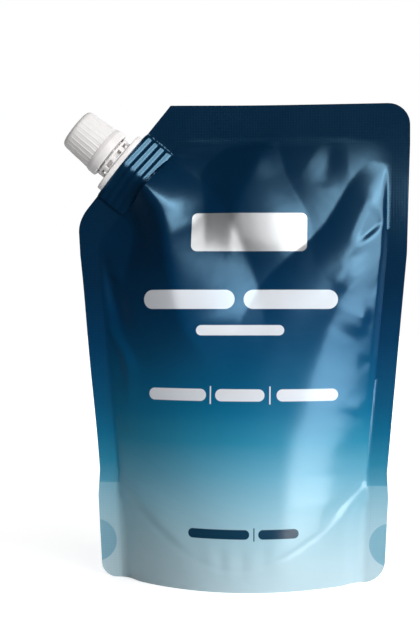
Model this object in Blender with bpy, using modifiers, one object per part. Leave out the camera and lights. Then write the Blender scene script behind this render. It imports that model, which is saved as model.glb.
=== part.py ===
"""Stand-up refill pack for liquid soap: a sealed film pouch with a folded base, a welded corner spout,
a ribbed screw cap, the tear-off band under the cap and the sealing disc inside it.

Lengths are in metres. The pack stands on the floor plane z = 0 and its front faces -Y. The origin is on the
floor, in the middle of the base. The spout leaves the cut corner at the upper left, square to the cut."""

import math

import bmesh
import bpy
from mathutils import Matrix, Vector

MM = 0.001

# Film pouch, outline in the plane of its side seals
PACK_HEIGHT = 218.5 * MM
PACK_WIDTH = 154 * MM
BASE_WIDTH = 130.2 * MM
FOLD_WIDTH = 134 * MM
WAIST_WIDTH = 133 * MM
SHOULDER_WIDTH = 151 * MM
FOLD_HEIGHT = 43 * MM
SIDE_LINE = (
    {"height": 0, "width": BASE_WIDTH},
    {"height": FOLD_HEIGHT - 5 * MM, "width": FOLD_WIDTH},
    {"height": FOLD_HEIGHT + 7 * MM, "width": WAIST_WIDTH},
    {"height": PACK_HEIGHT - 68.5 * MM, "width": SHOULDER_WIDTH},
    {"height": PACK_HEIGHT - 18.5 * MM, "width": PACK_WIDTH},
    {"height": PACK_HEIGHT, "width": PACK_WIDTH},
)
CUT_START = -32.5 * MM
CUT_ACROSS = 42 * MM
CUT_DOWN = 51 * MM
BASE_LEFT_RADIUS = 6.5 * MM
BASE_RIGHT_RADIUS = 9.5 * MM
TOP_CORNER_RADIUS = 10 * MM
CUT_CORNER_ROUNDING = 5 * MM

# The cut corner leans forward: the film bends over this width, this far in from the cut
LEAN_ANGLE = math.radians(7.5)
LEAN_REACH = 42 * MM
LEAN_BEND = 24 * MM

# Seals and film
FILM = 0.25 * MM
SIDE_SEAL = 9 * MM
TOP_SEAL = 17 * MM
WELD_SEAL = 14 * MM
BASE_SEAL = 9.5 * MM

# How far the filled pouch stands out from the plane of its seals
BASE_DEPTH = 30 * MM
DEPTH_TAPER = 1.65
DEPTH_END = 0.95
FIN_WAVE = 1.2 * MM
FIN_WAVE_LENGTH = 84 * MM
FIN_WAVE_WIDTH = 76 * MM

# Folded base
BELLY_SAG = 9 * MM
BELLY_HALF_LENGTH = 24 * MM
SEAL_CURVE = 1.8
CREST_CURVE = 1.25

# Spout, measured along its axis from the film's cut edge, and how far down the cut from its middle it sits
SPOUT_SHIFT = 2.4 * MM
BASE_LENGTH = 14.2 * MM
BASE_HALF_WIDTH = 18 * MM
BASE_HALF_THICKNESS = 6.7 * MM
WING_ANGLE = math.radians(20)
RIB_COUNT = 4
RIB_PITCH = 3.6 * MM
RIB_WIDTH = 1.3 * MM
RIB_HEIGHT = 0.6 * MM
FILM_RIB_RELIEF = 0.4 * MM
FLANGE_WIDTH = 30.4 * MM
FLANGE_DEPTH = 17 * MM
FLANGE_THICKNESS = 2.5 * MM
FLANGE_SQUARENESS = 0.8
BORE_RADIUS = 5.1 * MM
MOUTH_BORE_RADIUS = 5.8 * MM
MOUTH_BORE_LENGTH = 9 * MM
INLET_SPACE = 1.8 * MM
NECK_RADIUS = 7.2 * MM
NECK_BEAD = 0.8 * MM
NECK_BEAD_LENGTH = 0.9 * MM

# Thread
THREAD_LEAD = 6 * MM
THREAD_STARTS = 2
THREAD_HEIGHT = 0.85 * MM
THREAD_FOOT = 1.6 * MM
THREAD_CREST = 0.7 * MM
NECK_THREAD_LENGTH = 8 * MM
CAP_THREAD_LENGTH = 6 * MM

# Cap
CAP_HEIGHT = 20.6 * MM
CAP_TOP_RADIUS = 9.95 * MM
CAP_FOOT_RADIUS = 10.95 * MM
CAP_EDGE_ROUNDING = 2.2 * MM
CAP_ROOF = 1.5 * MM
COLLAR_RADIUS = 11.6 * MM
COLLAR_HEIGHT = 5.3 * MM
GRIP_RIBS = 30
GRIP_DEPTH = 0.35 * MM
LINER_THICKNESS = 1.2 * MM

# Tear-off band
BAND_RADIUS = 9.95 * MM
BAND_WALL = 0.9 * MM
BAND_HEIGHT = 3.3 * MM
WINDOW_COUNT = 10
WINDOW_WIDTH = 4.7 * MM
WINDOW_HEIGHT = 2.1 * MM
BRIDGE_COUNT = 10
BRIDGE_WIDTH = 0.9 * MM
BRIDGE_HEIGHT = 0.5 * MM

# Clearances between pieces
GAP = 0.3 * MM
RUNNING_GAP = 0.35 * MM

# Fineness of the meshes
ROW_STEP = 4.6 * MM
FRONT_COLUMNS = 32
BACK_COLUMNS = 20
ROUND_STEPS = 48

# Places that follow from the sizes above
CUT_ANGLE = math.atan2(CUT_DOWN, CUT_ACROSS)
TOP_SEAL_LINE = PACK_HEIGHT - TOP_SEAL
CUT_TOP = Vector((CUT_START, 0, PACK_HEIGHT))
CUT_MIDDLE = Vector((CUT_TOP.x - CUT_ACROSS / 2, 0, PACK_HEIGHT - CUT_DOWN / 2))
CUT_OUTWARD = Vector((-math.sin(CUT_ANGLE), 0, math.cos(CUT_ANGLE)))
CUT_DIRECTION = Vector((math.cos(CUT_ANGLE), 0, math.sin(CUT_ANGLE)))
SPOUT_PLACE = CUT_MIDDLE - SPOUT_SHIFT * CUT_DIRECTION
FLANGE_TOP = GAP + FLANGE_THICKNESS
BAND_FOOT = FLANGE_TOP + GAP
BAND_TOP = BAND_FOOT + BAND_HEIGHT
CAP_FOOT = BAND_TOP + BRIDGE_HEIGHT + GAP
CAP_TOP = CAP_FOOT + CAP_HEIGHT
ROOF_UNDERSIDE = CAP_TOP - CAP_ROOF
LINER_TOP = ROOF_UNDERSIDE - GAP
MOUTH = LINER_TOP - LINER_THICKNESS - GAP
CAP_BORE = NECK_RADIUS + THREAD_HEIGHT + RUNNING_GAP
NECK_THREAD_START = MOUTH - NECK_THREAD_LENGTH - 1.2 * MM
CAP_THREAD_START = NECK_THREAD_START - 0.6 * MM
SLEEVE_CLEARANCE = GAP + FILM

# Creases of the films: start and end as (x, z), how far they stand out, and their reach to either side
FRONT_CREASES = (
    {"start": (-50, 160), "end": (-34, 66), "rise": 2.4, "left": 9, "right": 16},
    {"start": (-19, 197), "end": (4, 150), "rise": -3.4, "left": 9, "right": 9},
    {"start": (12, 197), "end": (14, 118), "rise": 2.4, "left": 10, "right": 12},
    {"start": (63, 187), "end": (20, 116), "rise": -3.4, "left": 12, "right": 9},
)
BACK_CREASES = (
    {"start": (-18, 197), "end": (-12, 120), "rise": 2.2, "left": 11, "right": 10},
    {"start": (63, 180), "end": (26, 118), "rise": -3.0, "left": 10, "right": 10},
    {"start": (-62, 140), "end": (-28, 100), "rise": -2.2, "left": 9, "right": 9},
)


# Numbers that the film's shape is worked out from


def blend(low, high, share):
    return low + (high - low) * share


def ease(share):
    share = min(max(share, 0.0), 1.0)
    return share * share * (3 - 2 * share)


def soft_min(a, b, rounding):
    near = max(rounding - abs(a - b), 0) / rounding
    return min(a, b) - near * near * rounding / 4


def soft_max(a, b, rounding):
    return -soft_min(-a, -b, rounding)


def half_width(z):
    """Half the pouch's width at a height, with its corners still square."""
    for low, high in zip(SIDE_LINE, SIDE_LINE[1:]):
        if z <= high["height"]:
            share = (z - low["height"]) / (high["height"] - low["height"])
            return blend(low["width"], high["width"], share) / 2
    return SIDE_LINE[-1]["width"] / 2


def corner_inset(reach, radius):
    """How far a round corner stands back from the straight side, that near to the corner's end."""
    if reach >= radius:
        return 0.0
    return radius - math.sqrt(max(radius**2 - (radius - reach) ** 2, 0.0))


def cut_line(z, inset=0.0):
    """The x of the cut corner's line at a height, or of a line that far inside it."""
    return CUT_TOP.x - (PACK_HEIGHT - z) * CUT_ACROSS / CUT_DOWN + inset / math.sin(CUT_ANGLE)


def left_edge(z):
    side = -half_width(z) + corner_inset(z, BASE_LEFT_RADIUS)
    return soft_max(side, cut_line(z), CUT_CORNER_ROUNDING)


def right_edge(z):
    inset = corner_inset(z, BASE_RIGHT_RADIUS)
    inset += corner_inset(PACK_HEIGHT - z, TOP_CORNER_RADIUS)
    return half_width(z) - inset


def left_seal(z):
    return soft_max(SIDE_SEAL - half_width(z), cut_line(z, WELD_SEAL), CUT_CORNER_ROUNDING)


def right_seal(z):
    return half_width(z) - SIDE_SEAL


def crease_height(crease, x, z):
    """What one crease adds at a point: it starts at a seal, opens like a cone and runs out at its end."""
    start = Vector(crease["start"]) * MM
    run = Vector(crease["end"]) * MM - start
    offset = Vector((x, z)) - start
    along = offset.dot(run) / run.length_squared
    if not 0 < along < 1:
        return 0.0
    across = offset.cross(run) / run.length
    reach = crease["right"] if across > 0 else crease["left"]
    opening = reach * MM * (0.35 + 0.65 * along)
    swell = 2.4 * along**0.6 * (1 - along) ** 1.1
    return crease["rise"] * MM * swell * math.exp(-((across / opening) ** 2))


def funnel(x, z):
    """The film's half thickness where it opens from the spout's weld into the pouch."""
    place = Vector((x, 0, z)) - SPOUT_PLACE
    inward = -place.dot(CUT_OUTWARD)
    if inward < WELD_SEAL - 2 * MM:
        return 0.0
    past_weld = max(inward - WELD_SEAL, 0.0)
    reach = BASE_HALF_WIDTH + 0.75 * past_weld
    share = abs(place.dot(CUT_DIRECTION)) / reach
    peak = (BASE_HALF_THICKNESS + SLEEVE_CLEARANCE) * (1 + 0.05 * past_weld / WELD_SEAL)
    return peak * max(1 - share**1.3, 0.0) * (1 - ease(past_weld / (4.5 * WELD_SEAL)))


def film_depth(x, z, creases):
    """How far the film stands out from the plane of the seals at a point."""
    low, high = left_seal(z), right_seal(z)
    if not (low < x < high and z < TOP_SEAL_LINE):
        return FILM
    share = (2 * x - low - high) / (high - low)
    height_share = (z / TOP_SEAL_LINE) ** DEPTH_TAPER
    depth = BASE_DEPTH * (1 - height_share) ** DEPTH_END * (1 - share * share)
    opened = funnel(x, z)
    if opened > 0:
        depth = soft_max(depth, opened, min(5 * MM, opened))
    edge = min(x - low, high - x, TOP_SEAL_LINE - z)
    fade = ease(edge / (6 * MM))
    depth += fade * sum(crease_height(crease, x, z) for crease in creases)
    return FILM + max(depth, 0.0)


def seal_plane(x, z):
    """The side seals aren't quite flat: they wave a little, and are straight again at the floor."""
    swing = math.sin(2 * math.pi * z / FIN_WAVE_LENGTH) * ease(z / FOLD_HEIGHT)
    return FIN_WAVE * swing * (x / FIN_WAVE_WIDTH) ** 3 + corner_lean(x, z)


def corner_lean(x, z):
    """The cut corner's lean: none in the body, then a bend, then straight out to the cut."""
    past = LEAN_REACH + (Vector((x, 0, z)) - SPOUT_PLACE).dot(CUT_OUTWARD)
    if past <= 0:
        return 0.0
    bend = min(past, LEAN_BEND)
    return -math.tan(LEAN_ANGLE) * (bend * bend / (2 * LEAN_BEND) + past - bend)


def front_film(x, z):
    return seal_plane(x, z) - film_depth(x, z, FRONT_CREASES)


def back_film(x, z):
    return seal_plane(x, z) + film_depth(x, z, BACK_CREASES)


# Helpers that make objects


def clear_scene():
    for obj in list(bpy.data.objects):
        bpy.data.objects.remove(obj, do_unlink=True)


def new_collection(name):
    collection = bpy.data.collections.new(name)
    bpy.context.scene.collection.children.link(collection)
    return collection


def material(name, colour, roughness):
    made = bpy.data.materials.new(name)
    made.use_nodes = True
    shader = made.node_tree.nodes["Principled BSDF"]
    shader.inputs["Base Color"].default_value = (*colour, 1)
    shader.inputs["Roughness"].default_value = roughness
    shader.inputs["Metallic"].default_value = 0.0
    return made


def object_from(bm, name, collection):
    bmesh.ops.recalc_face_normals(bm, faces=bm.faces)
    mesh = bpy.data.meshes.new(name)
    bm.to_mesh(mesh)
    bm.free()
    obj = bpy.data.objects.new(name, mesh)
    collection.objects.link(obj)
    return obj


def add_boolean(target, tool, operation):
    """Joins a helper to a piece, or cuts it away, and keeps the helper out of the model."""
    modifier = target.modifiers.new(f"{operation.title()} {tool.name}", "BOOLEAN")
    modifier.operation = operation
    modifier.object = tool
    modifier.solver = "EXACT"
    tool.hide_render = True
    tool.display_type = "WIRE"


def add_loft(bm, sections):
    """Adds a closed solid through sections that all have the same number of points."""
    rings = [[bm.verts.new(point) for point in section] for section in sections]
    for ring, after in zip(rings, rings[1:]):
        count = len(ring)
        for i in range(count):
            j = (i + 1) % count
            bm.faces.new((ring[i], ring[j], after[j], after[i]))
    bm.faces.new(rings[0])
    bm.faces.new(list(reversed(rings[-1])))


def turned(profile, name, collection, steps=ROUND_STEPS):
    """A solid turned round the local Z axis. The profile is (radius, height), from the top down its outer side."""
    mesh = bpy.data.meshes.new(name)
    points = [(radius, 0, height) for radius, height in profile]
    closed = profile[0][0] > 0
    edges = [(i, i + 1) for i in range(len(points) - 1)]
    if closed:
        edges.append((len(points) - 1, 0))
    mesh.from_pydata(points, edges, [])
    obj = bpy.data.objects.new(name, mesh)
    collection.objects.link(obj)
    screw = obj.modifiers.new("Turn", "SCREW")
    screw.axis = "Z"
    screw.steps = steps
    screw.render_steps = steps
    screw.use_merge_vertices = True
    screw.merge_threshold = 0.00001
    return obj


def plate(outline, low, high, name, collection):
    """A flat outline in the local XY plane, made solid between two heights."""
    curve = bpy.data.curves.new(name, "CURVE")
    curve.dimensions = "2D"
    curve.fill_mode = "BOTH"
    curve.extrude = (high - low) / 2
    spline = curve.splines.new("POLY")
    spline.points.add(len(outline) - 1)
    for point, (x, y) in zip(spline.points, outline):
        point.co = (x, y, 0, 1)
    spline.use_cyclic_u = True
    flat = bpy.data.objects.new(name, curve)
    collection.objects.link(flat)
    bpy.context.view_layer.update()
    mesh = bpy.data.meshes.new_from_object(flat.evaluated_get(bpy.context.evaluated_depsgraph_get()))
    bpy.data.objects.remove(flat)
    mesh.transform(Matrix.Translation((0, 0, (low + high) / 2)))
    bm = bmesh.new()
    bm.from_mesh(mesh)
    bmesh.ops.remove_doubles(bm, verts=bm.verts, dist=0.000001)
    return object_from(bm, name, collection)


def box(size, centre, turn, name, collection):
    bm = bmesh.new()
    bmesh.ops.create_cube(bm, size=1.0)
    bm.transform(Matrix.Rotation(turn, 4, "Z") @ Matrix.Translation(centre) @ Matrix.Diagonal((*size, 1)))
    return object_from(bm, name, collection)


def ring_of_boxes(count, size, centre, name, collection):
    """The same box repeated round the local Z axis, as one helper."""
    bm = bmesh.new()
    for i in range(count):
        turn = Matrix.Rotation(2 * math.pi * i / count, 4, "Z")
        placed = turn @ Matrix.Translation(centre) @ Matrix.Diagonal((*size, 1))
        bmesh.ops.create_cube(bm, size=1.0, matrix=placed)
    return object_from(bm, name, collection)


def shade_smooth(obj, angle):
    obj.data.shade_smooth()
    obj.data.set_sharp_from_angle(angle=math.radians(angle))


# The film pouch


def rows():
    """Heights of the pouch's rows, close together where its corners are round."""
    quarter = [math.radians(22.5 * i) for i in range(5)]
    low = [BASE_RIGHT_RADIUS * (1 - math.cos(a)) for a in quarter]
    high = [PACK_HEIGHT - TOP_CORNER_RADIUS * (1 - math.cos(a)) for a in quarter]
    sides = [point["height"] for point in SIDE_LINE]
    levels = sorted({*low, *high, *sides, TOP_SEAL_LINE})
    spaced = []
    for bottom, top in zip(levels, levels[1:]):
        parts = max(1, round((top - bottom) / ROW_STEP))
        spaced += [blend(bottom, top, i / parts) for i in range(parts)]
    return [*spaced, PACK_HEIGHT]


def columns(z, count):
    """Places across one row: the outer edges, both sides of each seal, and the film between them."""
    low, high = left_edge(z), right_edge(z)
    inner_low = max(left_seal(z), low + SIDE_SEAL / 3)
    inner_high = min(right_seal(z), high - SIDE_SEAL / 3)
    between = [blend(inner_low, inner_high, i / count) for i in range(count + 1)]
    return [low, blend(low, inner_low, 0.5), *between, blend(inner_high, high, 0.5), high]


def pouch_shell(collection):
    """The filled pouch's outer form, flat under its base."""
    bm = bmesh.new()
    front, back = [], []
    for z in rows():
        front.append([bm.verts.new((x, front_film(x, z), z)) for x in columns(z, FRONT_COLUMNS)])
        back.append([bm.verts.new((x, back_film(x, z), z)) for x in columns(z, BACK_COLUMNS)])
    for grid in (front, back):
        for row, above in zip(grid, grid[1:]):
            for i in range(len(row) - 1):
                bm.faces.new((row[i], row[i + 1], above[i + 1], above[i]))
    for r in range(len(front) - 1):
        for end in (0, -1):
            bm.faces.new((front[r][end], back[r][end], back[r + 1][end], front[r + 1][end]))
    for r in (0, -1):
        bm.faces.new([*front[r], *reversed(back[r])])
    return object_from(bm, "pouch", collection)


def base_seal_height(x):
    """The curved seal that joins each panel to the folded base: low in the middle, up to the fold at the sides."""
    share = min(abs(x) / right_seal(0), 1.0)
    return blend(BASE_SEAL, FOLD_HEIGHT, share**SEAL_CURVE)


def base_crest_height(x):
    """The middle of the folded base: under the floor where the liquid presses it flat, up to the fold at the sides."""
    beyond = (abs(x) - BELLY_HALF_LENGTH) / (right_seal(0) - BELLY_HALF_LENGTH)
    if beyond <= 0:
        return -BELLY_SAG * (1 - (x / BELLY_HALF_LENGTH) ** 2)
    return FOLD_HEIGHT * beyond**CREST_CURVE


def base_hollow(collection):
    """The space under the folded base, between the front and the back skirt."""
    skirt = 2 * FILM
    end = right_seal(0) - 2.2 * FILM
    wall_shares = [i / 6 for i in range(7)]
    top_shares = [-1 + i / 6 for i in range(1, 12)]
    below = -5 * MM
    sections = []
    count = 30
    for i in range(count + 1):
        x = blend(-end, end, i / count)
        seal, crest = base_seal_height(x), base_crest_height(x)
        walls = [share * seal for share in wall_shares]
        front = [(x, front_film(x, z) + skirt, z) for z in walls]
        back = [(x, back_film(x, z) - skirt, z) for z in walls]
        near, far = front[-1][1], back[-1][1]
        top = [
            (x, blend(near, far, (share + 1) / 2), blend(seal, crest, 1 - share * share))
            for share in top_shares
        ]
        foot = [(x, back[0][1], below), (x, front[0][1], below)]
        sections.append([*front, *top, *reversed(back), *foot])
    bm = bmesh.new()
    add_loft(bm, sections)
    return object_from(bm, "base_hollow", collection)


def weld_outline(grow):
    """The spout's weld base seen along its axis: a tube with two wings, grown outward by a margin."""
    radius = BASE_HALF_THICKNESS + grow
    tip = BASE_HALF_WIDTH + grow
    tip_half = (radius - tip * math.sin(WING_ANGLE)) / math.cos(WING_ANGLE)
    arc_steps = 8
    first = math.pi / 2 - WING_ANGLE
    angles = [blend(first, math.pi - first, i / arc_steps) for i in range(arc_steps + 1)]
    over = [(tip, tip_half), *[(radius * math.cos(a), radius * math.sin(a)) for a in angles], (-tip, tip_half)]
    return [*over, *[(x, -y) for x, y in reversed(over)]]


def rib_places():
    """The middle of each weld rib, as distances in from the film's cut edge."""
    first = (BASE_LENGTH - (RIB_COUNT - 1) * RIB_PITCH) / 2
    return [first + i * RIB_PITCH for i in range(RIB_COUNT)]


def make_pouch(parts, helpers, spout_frame, film):
    pouch = pouch_shell(parts)
    add_boolean(pouch, base_hollow(helpers), "DIFFERENCE")
    depth = BASE_LENGTH + SLEEVE_CLEARANCE
    sleeve = plate(weld_outline(SLEEVE_CLEARANCE), -depth, 0, "weld_sleeve", helpers)
    tools = [(sleeve, "UNION")]
    for i, place in enumerate(rib_places()):
        half = RIB_WIDTH / 2 + FILM
        outline = weld_outline(SLEEVE_CLEARANCE + FILM_RIB_RELIEF)
        tools.append((plate(outline, -place - half, -place + half, f"film_rib_{i}", helpers), "UNION"))
    pocket = plate(weld_outline(GAP), -BASE_LENGTH - INLET_SPACE, 3 * MM, "weld_pocket", helpers)
    tools.append((pocket, "DIFFERENCE"))
    for tool, operation in tools:
        tool.parent = spout_frame
        add_boolean(pouch, tool, operation)
    pouch.data.materials.append(film)
    shade_smooth(pouch, 40)
    return pouch


# The spout, the cap and the band, each modelled along the spout's axis


def oval(width, depth, squareness):
    """A flattened oval outline. The lower the squareness is, the fuller its corners are."""
    points = []
    for i in range(40):
        angle = math.pi * (i + 0.5) / 20
        across, up = math.cos(angle), math.sin(angle)
        x = math.copysign(abs(across) ** squareness, across) * width / 2
        points.append((x, math.copysign(abs(up) ** squareness, up) * depth / 2))
    return points


def thread(root, crest, start, length, first_phase, name, collection):
    """Right-hand helical ridges, one for each start. Their feet are at the root radius, and they fade out
    at both ends."""
    turns = length / THREAD_LEAD
    steps = max(8, round(turns * 26))
    into_wall = 0.25 * MM if crest > root else -0.25 * MM
    bm = bmesh.new()
    for ridge in range(THREAD_STARTS):
        phase = first_phase + 2 * math.pi * ridge / THREAD_STARTS
        sections = []
        for i in range(steps + 1):
            share = i / steps
            angle = phase + 2 * math.pi * turns * share
            height = start + length * share
            fade = blend(0.15, 1.0, ease(min(share, 1 - share) * 7))
            peak = blend(root, crest, fade)
            foot, flat = THREAD_FOOT / 2 * fade, THREAD_CREST / 2 * fade
            profile = ((root - into_wall, -foot), (peak, -flat), (peak, flat), (root - into_wall, foot))
            sections.append([(r * math.cos(angle), r * math.sin(angle), height + h) for r, h in profile])
        add_loft(bm, sections)
    return object_from(bm, name, collection)


def make_spout(parts, helpers, white):
    outer = NECK_RADIUS
    bead = outer + NECK_BEAD
    bead_foot = BAND_TOP + GAP
    bead_top = bead_foot + NECK_BEAD_LENGTH
    neck = [
        (BORE_RADIUS - GAP, MOUTH),
        (outer - 0.4 * MM, MOUTH),
        (outer, MOUTH - 0.4 * MM),
        (outer, bead_top + NECK_BEAD),
        (bead, bead_top),
        (bead, bead_foot),
        (outer, bead_foot - NECK_BEAD / 2),
        (outer, GAP + FLANGE_THICKNESS / 2),
        (BORE_RADIUS - GAP, GAP + FLANGE_THICKNESS / 2),
    ]
    core = weld_outline(-RIB_HEIGHT)
    spout = plate(core, -BASE_LENGTH, GAP + FLANGE_THICKNESS / 3, "spout", parts)
    for i, place in enumerate(rib_places()):
        half = RIB_WIDTH / 2
        rib = plate(weld_outline(0), -place - half, -place + half, f"weld_rib_{i}", helpers)
        add_boolean(spout, rib, "UNION")
    flange_outline = oval(FLANGE_WIDTH, FLANGE_DEPTH, FLANGE_SQUARENESS)
    add_boolean(spout, plate(flange_outline, GAP, FLANGE_TOP, "flange", helpers), "UNION")
    add_boolean(spout, turned(neck, "neck", helpers), "UNION")
    crest = NECK_RADIUS + THREAD_HEIGHT
    ridges = thread(NECK_RADIUS, crest, NECK_THREAD_START, NECK_THREAD_LENGTH, 0.0, "neck_thread", helpers)
    add_boolean(spout, ridges, "UNION")
    step = MOUTH - MOUTH_BORE_LENGTH
    bore = [
        (0, MOUTH + 2 * MM),
        (MOUTH_BORE_RADIUS, MOUTH + 2 * MM),
        (MOUTH_BORE_RADIUS, step),
        (BORE_RADIUS, step - MOUTH_BORE_RADIUS + BORE_RADIUS),
        (BORE_RADIUS, -20 * MM),
        (0, -20 * MM),
    ]
    add_boolean(spout, turned(bore, "bore", helpers), "DIFFERENCE")
    spout.data.materials.append(white)
    shade_smooth(spout, 35)
    return spout


def grip_radius(radius, angle, height):
    """Adds the cap's finger ribs to its turned wall, between the collar and the rounded top edge."""
    foot = CAP_FOOT + COLLAR_HEIGHT
    top = CAP_TOP - CAP_EDGE_ROUNDING
    if not foot + 0.1 * MM < height < top + 0.1 * MM:
        return radius
    return radius - GRIP_DEPTH * (0.5 - 0.5 * math.cos(GRIP_RIBS * angle))


def make_cap(parts, helpers, white):
    collar_top = CAP_FOOT + COLLAR_HEIGHT
    edge = CAP_EDGE_ROUNDING
    inner_foot = NECK_RADIUS + NECK_BEAD + 2 * RUNNING_GAP + THREAD_HEIGHT
    shoulder = CAP_FOOT + 1.5 * MM
    profile = [
        (0, CAP_TOP),
        (CAP_TOP_RADIUS - edge, CAP_TOP),
        (CAP_TOP_RADIUS - 0.3 * edge, CAP_TOP - 0.3 * edge),
        (CAP_TOP_RADIUS, CAP_TOP - edge),
        (CAP_TOP_RADIUS, CAP_TOP - edge - 0.3 * MM),
        (CAP_FOOT_RADIUS, collar_top + 0.3 * MM),
        (CAP_FOOT_RADIUS, collar_top),
        (CAP_FOOT_RADIUS + 0.2 * MM, collar_top - 0.1 * MM),
        (COLLAR_RADIUS, collar_top - 1.8 * MM),
        (COLLAR_RADIUS, CAP_FOOT + 0.9 * MM),
        (COLLAR_RADIUS - 0.3 * MM, CAP_FOOT + 0.3 * MM),
        (COLLAR_RADIUS - 0.9 * MM, CAP_FOOT),
        (inner_foot, CAP_FOOT),
        (inner_foot, shoulder),
        (CAP_BORE, shoulder + inner_foot - CAP_BORE),
        (CAP_BORE, ROOF_UNDERSIDE),
        (0, ROOF_UNDERSIDE),
    ]
    turned_cap = turned(profile, "cap_blank", helpers, steps=4 * GRIP_RIBS)
    bpy.context.view_layer.update()
    graph = bpy.context.evaluated_depsgraph_get()
    mesh = bpy.data.meshes.new_from_object(turned_cap.evaluated_get(graph))
    bpy.data.objects.remove(turned_cap)
    for vertex in mesh.vertices:
        radius = math.hypot(vertex.co.x, vertex.co.y)
        if radius > CAP_BORE + GAP:
            angle = math.atan2(vertex.co.y, vertex.co.x)
            vertex.co.xy *= grip_radius(radius, angle, vertex.co.z) / radius
    cap = bpy.data.objects.new("cap", mesh)
    parts.objects.link(cap)
    crest = CAP_BORE - THREAD_HEIGHT
    half_pitch = math.pi / THREAD_STARTS
    lower = 2 * math.pi * (CAP_THREAD_START - NECK_THREAD_START) / THREAD_LEAD
    phase = half_pitch + lower
    ridges = thread(CAP_BORE, crest, CAP_THREAD_START, CAP_THREAD_LENGTH, phase, "cap_thread", helpers)
    add_boolean(cap, ridges, "UNION")
    cap.data.materials.append(white)
    shade_smooth(cap, 35)
    return cap


def make_liner(parts, foam):
    radius = CAP_BORE - RUNNING_GAP
    profile = [(0, LINER_TOP), (radius, LINER_TOP), (radius, LINER_TOP - LINER_THICKNESS)]
    profile.append((0, LINER_TOP - LINER_THICKNESS))
    liner = turned(profile, "cap_liner", parts)
    liner.data.materials.append(foam)
    return liner


def make_band(parts, helpers, white):
    inner = BAND_RADIUS - BAND_WALL
    lip = NECK_RADIUS + GAP
    profile = [
        (inner, BAND_TOP),
        (BAND_RADIUS, BAND_TOP),
        (BAND_RADIUS, BAND_FOOT),
        (inner, BAND_FOOT),
        (inner, BAND_TOP - 1.1 * MM),
        (lip, BAND_TOP - 0.7 * MM),
        (lip, BAND_TOP - 0.2 * MM),
    ]
    band = turned(profile, "tear_band", parts)
    middle = (inner + BAND_RADIUS) / 2
    window_middle = BAND_FOOT + 0.3 * MM + WINDOW_HEIGHT / 2
    windows = ring_of_boxes(
        WINDOW_COUNT,
        (3 * BAND_WALL, WINDOW_WIDTH, WINDOW_HEIGHT),
        (BAND_RADIUS, 0, window_middle),
        "band_windows",
        helpers,
    )
    add_boolean(band, windows, "DIFFERENCE")
    bridges = ring_of_boxes(
        BRIDGE_COUNT,
        (BAND_WALL / 2, BRIDGE_WIDTH, 2 * BRIDGE_HEIGHT),
        (middle, 0, BAND_TOP),
        "band_bridges",
        helpers,
    )
    add_boolean(band, bridges, "UNION")
    band.data.materials.append(white)
    return band


def build():
    clear_scene()
    parts = new_collection("refill_pack")
    helpers = new_collection("helpers")
    film = material("film", (0.02, 0.12, 0.26), 0.38)
    white = material("white_plastic", (0.86, 0.85, 0.84), 0.42)
    foam = material("liner_foam", (0.9, 0.9, 0.88), 0.6)
    spout_frame = bpy.data.objects.new("spout_frame", None)
    parts.objects.link(spout_frame)
    turn = Matrix.Rotation(-CUT_ANGLE, 4, "Y") @ Matrix.Rotation(LEAN_ANGLE, 4, "X")
    lean = Vector((0, corner_lean(SPOUT_PLACE.x, SPOUT_PLACE.z), 0))
    spout_frame.matrix_world = Matrix.Translation(SPOUT_PLACE + lean) @ turn
    make_pouch(parts, helpers, spout_frame, film)
    for piece in (
        make_spout(parts, helpers, white),
        make_cap(parts, helpers, white),
        make_liner(parts, foam),
        make_band(parts, helpers, white),
    ):
        piece.parent = spout_frame
        for modifier in piece.modifiers:
            if modifier.type == "BOOLEAN":
                modifier.object.parent = spout_frame


build()
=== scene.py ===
import math

import bmesh
import bpy
import numpy as np
from mathutils import Matrix, Vector


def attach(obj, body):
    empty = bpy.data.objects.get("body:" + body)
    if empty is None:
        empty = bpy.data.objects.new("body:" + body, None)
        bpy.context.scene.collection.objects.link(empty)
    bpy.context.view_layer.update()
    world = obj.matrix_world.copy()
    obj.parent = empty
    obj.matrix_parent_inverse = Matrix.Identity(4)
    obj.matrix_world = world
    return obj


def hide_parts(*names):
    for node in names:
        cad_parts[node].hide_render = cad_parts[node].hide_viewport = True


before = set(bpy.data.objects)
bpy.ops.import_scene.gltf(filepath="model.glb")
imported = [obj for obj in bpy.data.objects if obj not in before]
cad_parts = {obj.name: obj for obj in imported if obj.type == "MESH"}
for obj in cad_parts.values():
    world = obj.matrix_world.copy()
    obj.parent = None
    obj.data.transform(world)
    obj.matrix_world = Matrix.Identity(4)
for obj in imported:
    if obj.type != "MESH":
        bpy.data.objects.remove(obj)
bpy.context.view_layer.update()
print("frame loaded")

mm = 0.001


class Wire:  # one output socket, so that shader maths reads as plain expressions
    def __init__(self, graph, socket):
        self.graph = graph
        self.socket = socket

    def math(self, operation, *others):
        return self.graph.node("ShaderNodeMath", {"operation": operation},
                               {i: v for i, v in enumerate((self, *others))})

    def __add__(self, other): return self.math("ADD", other)
    def __radd__(self, other): return self.math("ADD", other)
    def __mul__(self, other): return self.math("MULTIPLY", other)
    def __rmul__(self, other): return self.math("MULTIPLY", other)
    def __sub__(self, other): return self.math("SUBTRACT", other)

    def __rsub__(self, other):
        return self.graph.node("ShaderNodeMath", {"operation": "SUBTRACT"}, {0: other, 1: self})

    def __truediv__(self, other): return self.math("DIVIDE", other)
    def __abs__(self): return self.math("ABSOLUTE")
    def sin(self): return self.math("SINE")
    def root(self): return self.math("SQRT")
    def atLeast(self, other): return self.math("MAXIMUM", other)

    def ramp(self, low, high, first=0.0, last=1.0):  # smooth step from low to high
        return self.graph.node("ShaderNodeMapRange", {"interpolation_type": "SMOOTHSTEP"},
                               {"Value": self, "From Min": low, "From Max": high,
                                "To Min": first, "To Max": last})


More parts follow.
